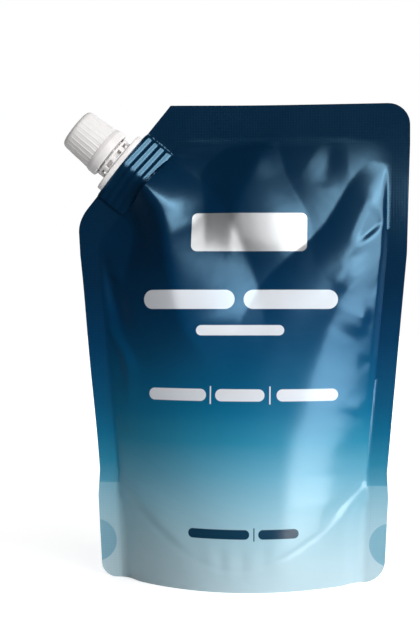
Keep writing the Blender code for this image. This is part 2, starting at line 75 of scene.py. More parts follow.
class Graph:
    def __init__(self, tree):
        self.tree = tree

    def node(self, kind, settings=None, values=None, out=0):
        made = self.tree.nodes.new(kind)
        for key, value in (settings or {}).items():
            if key == "stops":
                stops = made.color_ramp.elements
                while len(stops) < len(value):
                    stops.new(0.5)
                for stop, (place, colour) in zip(stops, value):
                    stop.position = place
                for stop, (place, colour) in zip(stops, value):
                    stop.color = (*colour, 1)
            else:
                setattr(made, key, value)
        for key, value in (values or {}).items():
            if isinstance(value, Wire):
                self.tree.links.new(value.socket, made.inputs[key])
            else:
                made.inputs[key].default_value = value
        return Wire(self, made.outputs[out]) if len(made.outputs) else None

    def parts(self, vector, count=3):
        split = self.node("ShaderNodeSeparateXYZ", {}, {0: vector}).socket.node
        return [Wire(self, split.outputs[i]) for i in range(count)]

    def mix(self, share, first, second):
        return self.node("ShaderNodeMix", {"data_type": "RGBA"}, {0: share, 6: first, 7: second}, out=2)

    def noise(self, place, scale, detail):
        return self.node("ShaderNodeTexNoise", {}, {"Vector": place, "Scale": scale, "Detail": detail})


def newMaterial(name):
    material = bpy.data.materials.new(name)
    material.use_nodes = True
    material.node_tree.nodes.clear()
    return material, Graph(material.node_tree)


def finishMaterial(graph, values):
    shader = graph.node("ShaderNodeBsdfPrincipled", {}, values)
    graph.node("ShaderNodeOutputMaterial", {}, {"Surface": shader})


def objectPlace(graph):
    return graph.node("ShaderNodeTexCoord", out=3)


def millimetres(graph, place):
    return [part * 1000 for part in graph.parts(place)]


def linear(red, green, blue):  # a colour written as 0 to 255 on screen
    return tuple(((c / 255 + 0.055) / 1.055) ** 2.4 if c > 10 else c / 255 / 12.92
                 for c in (red, green, blue))


# Sizes in millimetres
pouch = {
    "height": 218.5, "foldHeight": 43.0, "sideSeal": 9.0, "topSeal": 17.0, "weldSeal": 14.0, "baseSeal": 9.5,
    "film": 0.25, "baseDepth": 30.0, "depthTaper": 1.65, "depthEnd": 0.95,
    "leftRadius": 6.5, "rightRadius": 9.5, "topRadius": 10.0, "cutRounding": 5.0,
    "cutStart": -32.5, "cutAcross": 42.0, "cutDown": 51.0,
    "leanAngle": math.radians(7.5), "leanReach": 42.0, "leanBend": 24.0,
    "finWave": 1.2, "finWaveLength": 84.0, "finWaveWidth": 76.0,
    "bellySag": 9.0, "bellyHalf": 24.0, "sealCurve": 1.8, "crestCurve": 1.25,
}
sideHeights = [0, 38, 50, 150, 200, 218.5]
sideWidths = [130.2, 134, 133, 151, 154, 154]
spout = {
    "shift": 2.4, "baseLength": 14.2, "baseHalfWidth": 18.0, "baseHalfThickness": 6.7,
    "wing": math.radians(20), "ribs": (1.7, 5.3, 8.9, 12.5), "ribHalf": 1.0, "ribRise": 0.55,
    "sleeve": 0.55, "sleeveHalf": 18.6, "sleeveEnd": 0.7,
}
funnelForm = {"start": 2.0, "spread": 0.75, "swell": 0.05, "curve": 1.3, "length": 4.5}
cutAngle = math.atan2(pouch["cutDown"], pouch["cutAcross"])
sealLine = pouch["height"] - pouch["topSeal"]
cutOut = np.array([-math.sin(cutAngle), math.cos(cutAngle)])  # x and z of the direction out of the cut
cutRun = np.array([math.cos(cutAngle), math.sin(cutAngle)])
spoutAt = (np.array([pouch["cutStart"] - pouch["cutAcross"] / 2, pouch["height"] - pouch["cutDown"] / 2])
           - spout["shift"] * cutRun)


def blend(low, high, share):
    return low + (high - low) * share


def ease(share):
    share = np.clip(share, 0, 1)
    return share * share * (3 - 2 * share)


def hill(distance, width, power=2):  # 1 at no distance, down to 0 well past the width
    return np.exp(-(distance / width) ** power)


def softMin(a, b, rounding):
    near = np.maximum(rounding - np.abs(a - b), 0) / rounding
    return np.minimum(a, b) - near * near * rounding / 4


def softMax(a, b, rounding):
    return -softMin(-a, -b, rounding)


def halfWidth(z):
    return np.interp(z, sideHeights, sideWidths) / 2


def cornerInset(reach, radius):
    inset = radius - np.sqrt(np.maximum(radius**2 - (radius - reach) ** 2, 0))
    return np.where(reach >= radius, 0.0, inset)


def cutLine(z, inset=0.0):
    down = pouch["height"] - z
    return pouch["cutStart"] - down * pouch["cutAcross"] / pouch["cutDown"] + inset / math.sin(cutAngle)


def leftEdge(z):
    return softMax(-halfWidth(z) + cornerInset(z, pouch["leftRadius"]), cutLine(z), pouch["cutRounding"])


def rightEdge(z):
    inset = cornerInset(z, pouch["rightRadius"]) + cornerInset(pouch["height"] - z, pouch["topRadius"])
    return halfWidth(z) - inset


def leftSeal(z):
    return softMax(pouch["sideSeal"] - halfWidth(z), cutLine(z, pouch["weldSeal"]), pouch["cutRounding"])


def rightSeal(z):
    return halfWidth(z) - pouch["sideSeal"]


def cutPlace(x, z):  # how far along the cut and how far in from it a point lies
    dx, dz = x - spoutAt[0], z - spoutAt[1]
    return dx * cutRun[0] + dz * cutRun[1], -(dx * cutOut[0] + dz * cutOut[1])


def lens(across, grow):  # half thickness of the spout's weld base, grown outward
    radius = spout["baseHalfThickness"] + grow
    tip = spout["baseHalfWidth"] + grow
    wing = spout["wing"]
    across = np.abs(across)
    middle = np.sqrt(np.maximum(radius**2 - across**2, 0))
    flank = (radius - across * math.sin(wing)) / math.cos(wing)
    height = np.where(across < radius * math.sin(wing), middle, flank)
    return np.where(across < tip, height, 0.0)


def funnel(x, z):  # half thickness where the films open from the weld into the pouch
    along, inward = cutPlace(x, z)
    past = np.maximum(inward - pouch["weldSeal"], 0)
    share = np.abs(along) / (spout["baseHalfWidth"] + funnelForm["spread"] * past)
    swell = 1 + funnelForm["swell"] * past / pouch["weldSeal"]
    peak = (spout["baseHalfThickness"] + spout["sleeve"]) * swell
    fade = 1 - ease(past / (funnelForm["length"] * pouch["weldSeal"]))
    opened = peak * np.maximum(1 - share ** funnelForm["curve"], 0) * fade
    return np.where(inward < pouch["weldSeal"] - funnelForm["start"], 0.0, opened)


def sleeve(x, z):  # the film over the spout's ribbed weld base
    along, inward = cutPlace(x, z)
    ribs = sum(hill(inward - at, spout["ribHalf"]) for at in spout["ribs"])
    height = lens(along, spout["sleeve"]) + spout["ribRise"] * ribs
    tips = ease((spout["sleeveHalf"] - np.abs(along)) / spout["sleeveEnd"])
    return np.where(inward < spout["baseLength"] + spout["sleeve"], height * tips, 0.0)


def sealPlane(x, z):  # the seals wave at the sides, and lean forward at the cut
    swing = np.sin(2 * math.pi * z / pouch["finWaveLength"]) * ease(z / pouch["foldHeight"])
    along, inward = cutPlace(x, z)
    past = pouch["leanReach"] - inward
    bend = np.clip(past, 0, pouch["leanBend"])
    leaned = bend * bend / (2 * pouch["leanBend"]) + np.maximum(past, 0) - bend
    lean = -math.tan(pouch["leanAngle"]) * leaned
    return pouch["finWave"] * swing * (x / pouch["finWaveWidth"]) ** 3 + lean


# A fold's crest runs down through points given as x and z. Its rise and its reach to the left and right
# are given along it, from 0 to 1. A larger foot makes it steeper at the crest and flatter at its feet.
frontFolds = [
    {"crest": [(-50, 194), (-44.5, 183), (-37, 171), (-32, 147.4), (-25, 119.8), (-6, 90)],
     "foot": 1.25, "round": 2.0,
     "rise": [(0, 0), (0.12, 6.2), (0.3, 8.4), (0.6, 8.4), (0.85, 5.6), (1, 0)],
     "left": [(0, 8), (0.3, 15), (0.5, 25), (1, 22)],
     "right": [(0, 12), (0.15, 19), (0.4, 30), (0.8, 32), (1, 16)]},
    {"crest": [(12.1, 202), (5, 188), (-2, 169), (-4, 140)], "foot": 1.0, "round": 2.0,
     "rise": [(0, 0), (0.1, 1.6), (0.3, 2.5), (0.5, 2.8), (1, 0)],
     "left": [(0, 8), (0.3, 19), (0.6, 12), (1, 10)], "right": [(0, 3), (0.2, 13), (0.5, 32), (1, 36)]},
    {"crest": [(66, 190.5), (61, 180.9), (58.5, 171.7), (54.5, 158), (49.5, 146), (46, 135), (42, 119.8),
               (36, 98), (31, 66), (28, 40)],
     "foot": 1.0, "round": 2.4,
     "rise": [(0, 0), (0.08, 1.7), (0.25, 4.0), (0.45, 4.4), (0.62, 1.9), (0.8, 0.2), (1, 0)],
     "left": [(0, 6), (0.1, 10), (0.25, 17), (0.4, 30), (1, 38)],
     "right": [(0, 10), (0.15, 22), (0.35, 44), (0.6, 80), (1, 90)]},
    {"crest": [(42, 201.5), (37, 176)], "foot": 1.2, "round": 1.6,
     "rise": [(0, 0), (0.4, -0.55), (1, 0)], "left": [(0, 4), (1, 12)], "right": [(0, 5), (1, 12)]},
    {"crest": [(64, 148.8), (44, 128)], "foot": 1.15, "round": 0.3,
     "rise": [(0, 0), (0.25, 0.9), (0.7, 0.8), (1, 0)], "left": [(0, 6), (1, 13)],
     "right": [(0, 5), (1, 12)]},
    {"crest": [(42, 126.5), (61, 119.4)], "foot": 1.15, "round": 0.3,
     "rise": [(0, 0), (0.5, 0.8), (0.8, 1.0), (1, 0)], "left": [(0, 8), (1, 12)], "right": [(0, 9), (1, 5)]},
    {"crest": [(-63, 118), (-53, 101), (-52, 74)], "foot": 1.2, "round": 0.5,
     "rise": [(0, 0), (0.3, 1.0), (0.6, 0.8), (1, 0)], "left": [(0, 2), (1, 4)], "right": [(0, 3), (1, 7)]},
    {"crest": [(52, 153.8), (67, 168)], "foot": 1.3, "round": 0.4,
     "rise": [(0, 0), (0.4, -0.9), (1, -0.3)], "left": [(0, 2), (1, 3)], "right": [(0, 3), (1, 12)]},
    {"crest": [(-66, 151), (-52, 104)], "foot": 1.4, "round": 0.8,
     "rise": [(0, 0), (0.4, -2.0), (1, 0)], "left": [(0, 2), (1, 6)], "right": [(0, 4), (1, 10)]},
]
backFolds = [
    {"crest": [(-18, 201), (-12, 120)], "foot": 1.4, "round": 1.0,
     "rise": [(0, 0), (0.3, 2.4), (1, 0)], "left": [(0, 3), (1, 16)], "right": [(0, 3), (1, 14)]},
    {"crest": [(66, 184), (48, 148), (26, 112)], "foot": 1.4, "round": 1.0,
     "rise": [(0, 0), (0.3, 3.0), (1, 0)], "left": [(0, 4), (1, 18)], "right": [(0, 4), (1, 14)]},
    {"crest": [(-62, 146), (-28, 96)], "foot": 1.4, "round": 0.8,
     "rise": [(0, 0), (0.4, -2.2), (1, 0)], "left": [(0, 2), (1, 10)], "right": [(0, 4), (1, 12)]},
]
creases = {"heights": (56, 178), "drift": 4, "length": (9, 21), "angle": (-50, 30), "rise": (0.12, 0.3),
           "reach": (4, 8), "inSeal": 0.5, "foot": 1.2, "round": 0.4}


def sideCreases(count, side, seed):  # small creases that run in from a side seal
    draw = np.random.default_rng(seed)
    drift = creases["drift"]
    for z in np.linspace(*creases["heights"], count) + draw.uniform(-drift, drift, count):
        length = draw.uniform(*creases["length"])
        angle = math.radians(draw.uniform(*creases["angle"]))
        x = (rightSeal(z) if side > 0 else leftSeal(z)) - side * creases["inSeal"]
        end = (x - side * length * math.cos(angle), z + length * math.sin(angle))
        rise = draw.uniform(*creases["rise"]) * draw.choice([-1, 1])
        reach = draw.uniform(*creases["reach"])
        yield {"crest": [(float(x), z), end], "foot": creases["foot"], "round": creases["round"],
               "rise": [(0, 0), (0.3, rise), (1, 0)],
               "left": [(0, reach * 0.4), (1, reach)], "right": [(0, reach * 0.5), (1, reach * 1.4)]}


frontFolds += [*sideCreases(9, 1, 5), *sideCreases(9, -1, 11)]
backFolds += [*sideCreases(9, 1, 23), *sideCreases(8, -1, 31)]


def smoothCurve(at, points):  # one smooth line through points given as place and value
    places, values = np.array(points, float).T
    if len(places) < 3:
        return np.interp(at, places, values)
    slopes = np.gradient(values, places)
    i = np.clip(np.searchsorted(places, at) - 1, 0, len(places) - 2)
    step = places[i + 1] - places[i]
    t = np.clip((at - places[i]) / step, 0, 1)
    return (blend(values[i], values[i + 1], t * t * (3 - 2 * t))
            + step * t * (1 - t) * (slopes[i] * (1 - t) - slopes[i + 1] * t))


foldEnd = 0.3  # the last part of a fold, over which it runs out


def foldHeight(fold, x, z):
    crest = np.array(fold["crest"], float)
    run = crest[-1] - crest[0]
    length = math.hypot(*run)
    run = run / length

    def inFold(x, z):  # along the fold from 0 to 1, and across it to the right of a fold that runs down
        dx, dz = x - crest[0][0], z - crest[0][1]
        return (dx * run[0] + dz * run[1]) / length, dz * run[0] - dx * run[1]

    along, across = inFold(x, z)
    across = across - smoothCurve(along, np.stack(inFold(*crest.T), -1))
    reach = np.where(across > 0, smoothCurve(along, fold["right"]), smoothCurve(along, fold["left"]))
    soft = np.sqrt(across**2 + fold["round"] ** 2) - fold["round"]
    height = smoothCurve(along, fold["rise"]) * np.maximum(1 - soft / reach, 0) ** fold["foot"]
    return np.where((along > 0) & (along < 1), height * ease((1 - along) / foldEnd), 0.0)


def baseSealHeight(x):
    share = np.minimum(np.abs(x) / rightSeal(0), 1)
    return blend(pouch["baseSeal"], pouch["foldHeight"], share ** pouch["sealCurve"])


def baseCrestHeight(x):
    half = pouch["bellyHalf"]
    beyond = np.maximum((np.abs(x) - half) / (rightSeal(0) - half), 0)
    under = -pouch["bellySag"] * (1 - (x / half) ** 2)
    return np.where(np.abs(x) <= half, under, pouch["foldHeight"] * beyond ** pouch["crestCurve"])


# Small forms of the film, in millimetres: how far each rises, where it lies and where it fades
groove = {"rise": -1.2, "above": 3.6, "band": 3.2, "from": 36, "over": 10}
swelling = {"rise": 0.9, "above": 5, "fade": 22, "from": 18, "over": 20}
sealStep = {"rise": -0.12, "above": -0.2, "band": 1.1}
puckers = {
    "rise": 0.6, "above": 3.5, "band": 5.5, "half": 24,
    "each": ((-17, -0.2, 2.2), (-11.5, 0.34, 2.6), (-6.5, -0.3, 1.8), (-2.5, 0.32, 2.0), (2.8, -0.34, 1.9),
             (7.5, 0.36, 2.6), (12.5, -0.22, 1.6), (16.5, 0.22, 2.2)),  # place, rise and width
}
finThick = {"rise": 0.14, "above": 1.2, "over": 0.9, "edge": 0.6}
finRays = {"rise": 0.12, "above": 1.6, "from": 57, "over": 11,
           "left": ((3.0, 0.7), (-2.4, 0.6)), "right": ((-0.8, 0.7),)}  # slope and width
punched = {"middle": (68.3, 17.0), "radius": 9.9, "dent": 0.1, "edge": 0.3}
skirtFlat = {"share": 0.75, "edge": 11, "over": 8}
topLip = {"rise": 0.34, "band": 0.7, "from": -30, "fromOver": 12, "to": 58, "toOver": 20}
foldEdge = 2.5


def baseRelief(x, z):  # the curved base seal: a groove above it, and small puckers where the film is gathered
    above = z - baseSealHeight(x)
    low = groove["rise"] * hill(above - groove["above"], groove["band"])
    low = low * ease((x - groove["from"]) / groove["over"])
    high = swelling["rise"] * ease(above / swelling["above"])
    high = high * (1 - ease((above - swelling["above"]) / swelling["fade"]))
    high = high * ease((-x - swelling["from"]) / swelling["over"])
    ripple = sum(rise * hill(x - at, wide) for at, rise, wide in puckers["each"])
    ripple = puckers["rise"] * ripple * hill(x, puckers["half"], 4)
    ripple = ripple * hill(above - puckers["above"], puckers["band"])
    return low + high + ripple + sealStep["rise"] * hill(above - sealStep["above"], sealStep["band"])


def finRelief(x, z):  # the side seals: four films thick below the fold, creased at it and spot sealed
    side = np.abs(x)
    outside = ease((side - halfWidth(z) + pouch["sideSeal"]) / finThick["edge"])
    thick = finThick["rise"] * ease((pouch["foldHeight"] + finThick["above"] - z) / finThick["over"])
    line = z - pouch["foldHeight"] - finRays["above"]
    reach = np.maximum(side - finRays["from"], 0) / finRays["over"]
    left, right = [sum(hill(line - slope * reach, width) for slope, width in finRays[key])
                   for key in ("left", "right")]
    spot = np.hypot(side - punched["middle"][0], z - punched["middle"][1])
    dent = punched["dent"] * ease((punched["radius"] + punched["edge"] - spot) / (2 * punched["edge"]))
    return outside * (thick + finRays["rise"] * np.where(x < 0, left, right) - dent)


def filmDepth(x, z, folds):
    low, high = leftSeal(z), rightSeal(z)
    inside = (x > low) & (x < high) & (z < sealLine)
    share = (2 * x - low - high) / (high - low)
    heightShare = np.clip(z / sealLine, 0, 1) ** pouch["depthTaper"]
    depth = pouch["baseDepth"] * (1 - heightShare) ** pouch["depthEnd"] * (1 - share * share)
    opened = funnel(x, z)
    depth = np.where(opened > 0, softMax(depth, opened, np.clip(opened, 0.01, 5.0)), depth)
    edge = np.minimum(np.minimum(x - low, high - x), sealLine - z)
    inCorner = ease(1 - edge / skirtFlat["edge"]) * ease((baseSealHeight(x) - z) / skirtFlat["over"])
    depth = depth * (1 - skirtFlat["share"] * inCorner)  # the skirts' corners lie flat
    relief = sum(foldHeight(fold, x, z) for fold in folds) + baseRelief(x, z)
    depth = depth + ease(edge / foldEdge) * relief
    lip = topLip["rise"] * hill(z - sealLine, topLip["band"])
    lip = lip * ease((x - topLip["from"]) / topLip["fromOver"]) * ease((topLip["to"] - x) / topLip["toOver"])
    return pouch["film"] + np.where(inside, np.maximum(depth, 0), 0.0) + finRelief(x, z) + lip


def frontFilm(x, z):
    return sealPlane(x, z) - np.maximum(filmDepth(x, z, frontFolds), sleeve(x, z))


def backFilm(x, z):
    return sealPlane(x, z) + np.maximum(filmDepth(x, z, backFolds), sleeve(x, z))


pouchMesh = {"rowStep": 1.05, "columns": 116, "sealColumns": 7, "cornerSteps": 9, "narrowSeal": 3,
             "skirtSteps": 12, "underSteps": 22, "weldCuts": 3, "weldHalf": 20, "weldInward": 16, "sharp": 50}
underside = {"gap": 0.02, "rounding": 1.2, "pleat": 0.35, "pleatWaves": 21, "pleatFrom": 26, "pleatOver": 18}


def pouchRows():
    quarter = np.radians(np.linspace(0, 90, pouchMesh["cornerSteps"]))
    low = pouch["rightRadius"] * (1 - np.cos(quarter))
    high = pouch["height"] - pouch["topRadius"] * (1 - np.cos(quarter))
    levels = np.concatenate([low, high, sideHeights, [sealLine, sealLine + 0.5]])
    levels = np.unique(np.round(levels, 4))
    spaced = []
    for bottom, top in zip(levels, levels[1:]):
        parts = max(1, round((top - bottom) / pouchMesh["rowStep"]))
        spaced += [blend(bottom, top, i / parts) for i in range(parts)]
    return np.array([*spaced, pouch["height"]])


def pouchColumns(z):
    low, high = leftEdge(z), rightEdge(z)
    innerLow = np.maximum(leftSeal(z), low + pouchMesh["narrowSeal"])
    innerHigh = np.minimum(rightSeal(z), high - pouchMesh["narrowSeal"])
    side = np.linspace(0, 1, pouchMesh["sealColumns"], endpoint=False)
    middle = np.linspace(0, 1, pouchMesh["columns"] + 1)
    return np.concatenate([blend(low, innerLow, side), blend(innerLow, innerHigh, middle),
                           blend(high, innerHigh, side)[::-1]])


def quads(index):  # the faces between the rows and columns of a grid of vertex numbers
    corners = [index[:-1, :-1], index[:-1, 1:], index[1:, 1:], index[1:, :-1]]
    return np.stack(corners, -1).reshape(-1, 4)


def underSection(x):  # a cut through the space under the folded base, from one skirt over to the other
    seal, crest = float(baseSealHeight(x)), float(baseCrestHeight(x))
    z = np.linspace(0, 1, pouchMesh["skirtSteps"] + 1) * seal
    xs = np.full_like(z, x)
    skirt = 2 * pouch["film"]
    nearWall = np.stack([xs, frontFilm(xs, z) + skirt, z], -1)
    farWall = np.stack([xs, backFilm(xs, z) - skirt, z], -1)
    if farWall[0, 1] < nearWall[0, 1]:
        farWall[:, 1] = nearWall[:, 1] = (farWall[:, 1] + nearWall[:, 1]) / 2
    arch = np.linspace(-1, 1, pouchMesh["underSteps"] + 1)[1:-1]
    lift = softMax(blend(seal, crest, 1 - arch**2), underside["gap"], underside["rounding"])
    fade = ease((abs(x) - underside["pleatFrom"]) / underside["pleatOver"])
    pleat = underside["pleat"] * np.sin(arch * underside["pleatWaves"]) * fade * (1 - arch**2)
    across = blend(nearWall[-1, 1], farWall[-1, 1], (arch + 1) / 2)
    top = np.stack([np.full_like(arch, x), across, np.maximum(lift + pleat, underside["gap"])], -1)
    return np.concatenate([nearWall, top, farWall[::-1]])


def pouchShell():  # both panels, closed at their edges, and the underside of the base between the skirts
    heights = pouchRows()
    across = np.array([pouchColumns(z) for z in heights])
    rise = np.repeat(heights[:, None], across.shape[1], axis=1)
    rows, cols = across.shape
    front = np.stack([across, frontFilm(across, rise), rise], -1).reshape(-1, 3)
    back = np.stack([across, backFilm(across, rise), rise], -1).reshape(-1, 3)
    near = np.arange(rows * cols).reshape(rows, cols)
    far = near + rows * cols
    faces = quads(near).tolist() + quads(far)[:, ::-1].tolist()
    for end in (0, cols - 1):
        faces += [[near[r, end], far[r, end], far[r + 1, end], near[r + 1, end]] for r in range(rows - 1)]
    faces += [[near[-1, c], far[-1, c], far[-1, c + 1], near[-1, c + 1]] for c in range(cols - 1)]

    hollow = np.flatnonzero(np.abs(across[0]) < rightSeal(0) - 2.2 * pouch["film"])
    first, last = hollow[0], hollow[-1]
    sections = np.array([underSection(x) for x in across[0][hollow]])
    count, ring = sections.shape[:2]
    inner = np.arange(count * ring).reshape(count, ring) + 2 * rows * cols
    faces += quads(inner).tolist()
    for i, c in enumerate(range(first, last)):
        faces.append([near[0, c], near[0, c + 1], inner[i + 1, 0], inner[i, 0]])
        faces.append([far[0, c], far[0, c + 1], inner[i + 1, -1], inner[i, -1]])
    for c in [*range(0, first - 1), *range(last + 1, cols - 1)]:
        faces.append([near[0, c], near[0, c + 1], far[0, c + 1], far[0, c]])
    for end, c, beside in ((0, first, first - 1), (-1, last, last + 1)):
        faces.append([near[0, beside], near[0, c], inner[end, 0], inner[end, -1], far[0, c], far[0, beside]])
    faces += inner[[0, -1]].tolist()
    return np.concatenate([front, back, sections.reshape(-1, 3)]), faces, rows * cols


def refineWeld(bm, side):  # finer faces over the ribbed weld, moved back onto the films
    welded = []
    for face in bm.faces:
        middle = face.calc_center_median()
        along, inward = cutPlace(middle.x, middle.z)
        onPanel = len(face.verts) == 4 and abs(sum(v[side] for v in face.verts)) == 4
        if onPanel and abs(along) < pouchMesh["weldHalf"] and inward < pouchMesh["weldInward"]:
            welded.append(face)
    edges = list(dict.fromkeys(edge for face in welded for edge in face.edges))
    bmesh.ops.subdivide_edges(bm, edges=edges, cuts=pouchMesh["weldCuts"], use_grid_fill=True)
    beyond = pouchMesh["weldInward"] + 2
    near = [v for v in bm.verts if abs(v[side]) == 1 and cutPlace(v.co.x, v.co.z)[1] < beyond]
    x, z = np.array([(v.co.x, v.co.z) for v in near]).T
    isFront = np.array([v[side] > 0 for v in near])
    for vert, y in zip(near, np.where(isFront, frontFilm(x, z), backFilm(x, z))):
        vert.co.y = y


def markSeals(bm, side):  # an attribute that is 1 on the seals, where the film is embossed
    seal = bm.verts.layers.float.new("seal")
    x, z = np.array([(v.co.x, v.co.z) for v in bm.verts]).T
    flat = (x <= leftSeal(z) + 0.01) | (x >= rightSeal(z) - 0.01) | (z >= sealLine - 0.01)
    flat = (flat & (sleeve(x, z) < 0.3)).astype(float)
    for vert, value in zip(bm.verts, flat):
        vert[seal] = value if vert[side] != 0 else 0.0


def makePouch(material):
    points, faces, panelCount = pouchShell()
    draft = bpy.data.meshes.new("pouchDraft")
    draft.from_pydata(points.tolist(), [], faces)
    bm = bmesh.new()
    bm.from_mesh(draft)
    bpy.data.meshes.remove(draft)
    side = bm.verts.layers.float.new("side")  # 1 on the front panel, -1 on the back one, 0 underneath
    for i, vert in enumerate(bm.verts):
        vert[side] = 1.0 if i < panelCount else -1.0 if i < 2 * panelCount else 0.0
    refineWeld(bm, side)
    markSeals(bm, side)
    bmesh.ops.scale(bm, vec=(mm, mm, mm), verts=bm.verts)
    piece = meshPiece(bm, "pouchFilm", material, pouchMesh["sharp"])
    print("pouch:", len(piece.data.polygons), "faces")
    return piece


def rounded(profile, steps=5):  # corners given as (radius, height, rounding)
    count = len(profile)
    result = []
    for i, (r, h, rounding) in enumerate(profile):
        here = Vector((r, h))
        if rounding == 0:
            result.append(here)
            continue
        before = (Vector(profile[i - 1][:2]) - here)
        after = (Vector(profile[(i + 1) % count][:2]) - here)
        angle = before.angle(after) / 2
        reach = min(rounding / math.tan(angle), before.length * 0.49, after.length * 0.49)
        radius = reach * math.tan(angle)
        before, after = before.normalized(), after.normalized()
        centre = here + (before + after).normalized() * radius / math.sin(angle)
        first, last = here + before * reach - centre, here + after * reach - centre
        for k in range(steps + 1):
            result.append(centre + first.slerp(last, k / steps) * radius)
    return [(p.x, p.y) for p in result]


def circle(bm, radius, height, count, shift=0.0):
    angles = [2 * math.pi * (i + shift) / count for i in range(count)]
    return [bm.verts.new((radius * math.cos(a), radius * math.sin(a), height)) for a in angles]


def joinRings(bm, one, two):
    for i in range(len(one)):
        j = (i + 1) % len(one)
        bm.faces.new((one[i], one[j], two[j], two[i]))


def turnedMesh(bm, profile, steps):  # a closed solid turned round Z: a ring, or a body with poles on the axis
    onAxis = 1e-6
    rings = [[bm.verts.new((0, 0, h))] if r < onAxis else circle(bm, r, h, steps) for r, h in profile]
    pairs = list(zip(rings, rings[1:]))
    if min(r for r, h in profile) > onAxis:
        pairs.append((rings[-1], rings[0]))
    for one, two in pairs:
        if len(one) > 1 and len(two) > 1:
            joinRings(bm, one, two)
            continue
        for i in range(steps):
            j = (i + 1) % steps
            bm.faces.new((one[0], two[i], two[j]) if len(one) == 1 else (one[i], one[j], two[0]))


def loft(bm, sections):
    rings = [[bm.verts.new(point) for point in section] for section in sections]
    for ring, after in zip(rings, rings[1:]):
        joinRings(bm, ring, after)
    bm.faces.new(rings[0])
    bm.faces.new(list(reversed(rings[-1])))


thread = {"pitch": 6.0, "starts": 2, "height": 0.85, "steps": 90, "intoWall": 0.25, "footHalf": 0.8,
          "crestHalf": 0.35, "runOut": 7, "runOutLeast": 0.15}


def threadRidges(bm, root, crest, start, length, phase):
    turns = length / thread["pitch"]
    into = math.copysign(thread["intoWall"], crest - root)
    for ridge in range(thread["starts"]):
        sections = []
        for i in range(thread["steps"] + 1):
            share = i / thread["steps"]
            angle = phase + 2 * math.pi * ridge / thread["starts"] + 2 * math.pi * turns * share
            fade = blend(thread["runOutLeast"], 1.0, float(ease(min(share, 1 - share) * thread["runOut"])))
            peak = blend(root, crest, fade)
            foot, flat = thread["footHalf"] * fade, thread["crestHalf"] * fade
            slope = (peak - root) * 0.12
            half = ((root - into, foot), (root, foot * 0.94), (peak - slope, flat * 1.25), (peak, flat * 0.7))
            shape = [(r, -h) for r, h in half] + list(reversed(half))
            height = start + length * share
            sections.append([(r * math.cos(angle), r * math.sin(angle), height + h) for r, h in shape])
        loft(bm, sections)


def meshPiece(bm, name, material, sharp=35):
    bmesh.ops.recalc_face_normals(bm, faces=bm.faces)
    mesh = bpy.data.meshes.new(name)
    bm.to_mesh(mesh)
    bm.free()
    piece = bpy.data.objects.new(name, mesh)
    bpy.context.scene.collection.objects.link(piece)
    mesh.materials.append(material)
    mesh.shade_smooth()
    mesh.set_sharp_from_angle(angle=math.radians(sharp))
    return piece


# The spout's place in the pack: X along the cut, Z out of it, leaning forward with the film
spoutFrame = Matrix((
    (0.6357073, -0.1007571, -0.7653263, -0.0550257),
    (0.0, 0.9914449, -0.1305262, -0.0039496),
    (0.7719302, 0.0829764, 0.6302687, 0.1911474),
    (0, 0, 0, 1),
))


def onSpout(piece):  # from the spout's own millimetres to the pack's place
    piece.data.transform(spoutFrame @ Matrix.Diagonal((mm, mm, mm, 1)))
    piece.data.update()
    return piece


def ringTree():  # repeats one shape round the Z axis beside the piece's own mesh
    tree = bpy.data.node_groups.new("ringOfShapes", "GeometryNodeTree")
    face = tree.interface
    face.new_socket("Geometry", in_out="OUTPUT", socket_type="NodeSocketGeometry")
    for name, kind in (("Geometry", "Geometry"), ("Shape", "Object"), ("Count", "Int"), ("Turn", "Float"),
                       ("Finish", "Material")):
        face.new_socket(name, in_out="INPUT", socket_type="NodeSocket" + kind)
    graph = Graph(tree)
    given = graph.node("NodeGroupInput").socket.node.outputs
    given = {socket.name: Wire(graph, socket) for socket in given if socket.name}
    shape = graph.node("GeometryNodeObjectInfo", {}, {"Object": given["Shape"]}, out=4)
    points = graph.node("GeometryNodePoints", {}, {"Count": given["Count"]})
    index = graph.node("GeometryNodeInputIndex")
    angle = index * (2 * math.pi) / given["Count"] + given["Turn"]
    turn = graph.node("ShaderNodeCombineXYZ", {}, {"Z": angle})
    placed = graph.node("GeometryNodeInstanceOnPoints", {},
                        {"Points": points, "Instance": shape, "Rotation": turn})
    real = graph.node("GeometryNodeRealizeInstances", {}, {"Geometry": placed})
    join = tree.nodes.new("GeometryNodeJoinGeometry")
    tree.links.new(given["Geometry"].socket, join.inputs[0])
    tree.links.new(real.socket, join.inputs[0])
    done = graph.node("GeometryNodeSetMaterial", {},
                      {"Geometry": Wire(graph, join.outputs[0]), "Material": given["Finish"]})
    graph.node("NodeGroupOutput", {}, {0: done})
    return tree


def addRing(piece, shape, count, turn, material):
    modifier = piece.modifiers.new("ring", "NODES")
    modifier.node_group = ringShapes
    values = {"Shape": shape, "Count": count, "Turn": turn, "Finish": material}
    for item in ringShapes.interface.items_tree:
        if item.item_type == "SOCKET" and item.in_out == "INPUT" and item.name in values:
            modifier[item.identifier] = values[item.name]
    bpy.context.view_layer.update()
    graph = bpy.context.evaluated_depsgraph_get()
    mesh = bpy.data.meshes.new_from_object(piece.evaluated_get(graph))
    piece.modifiers.remove(modifier)
    old = piece.data
    piece.data = mesh
    bpy.data.meshes.remove(old)
    bpy.data.objects.remove(shape)
    mesh.materials.clear()
    mesh.materials.append(material)
    mesh.shade_smooth()
    mesh.set_sharp_from_angle(angle=math.radians(50))


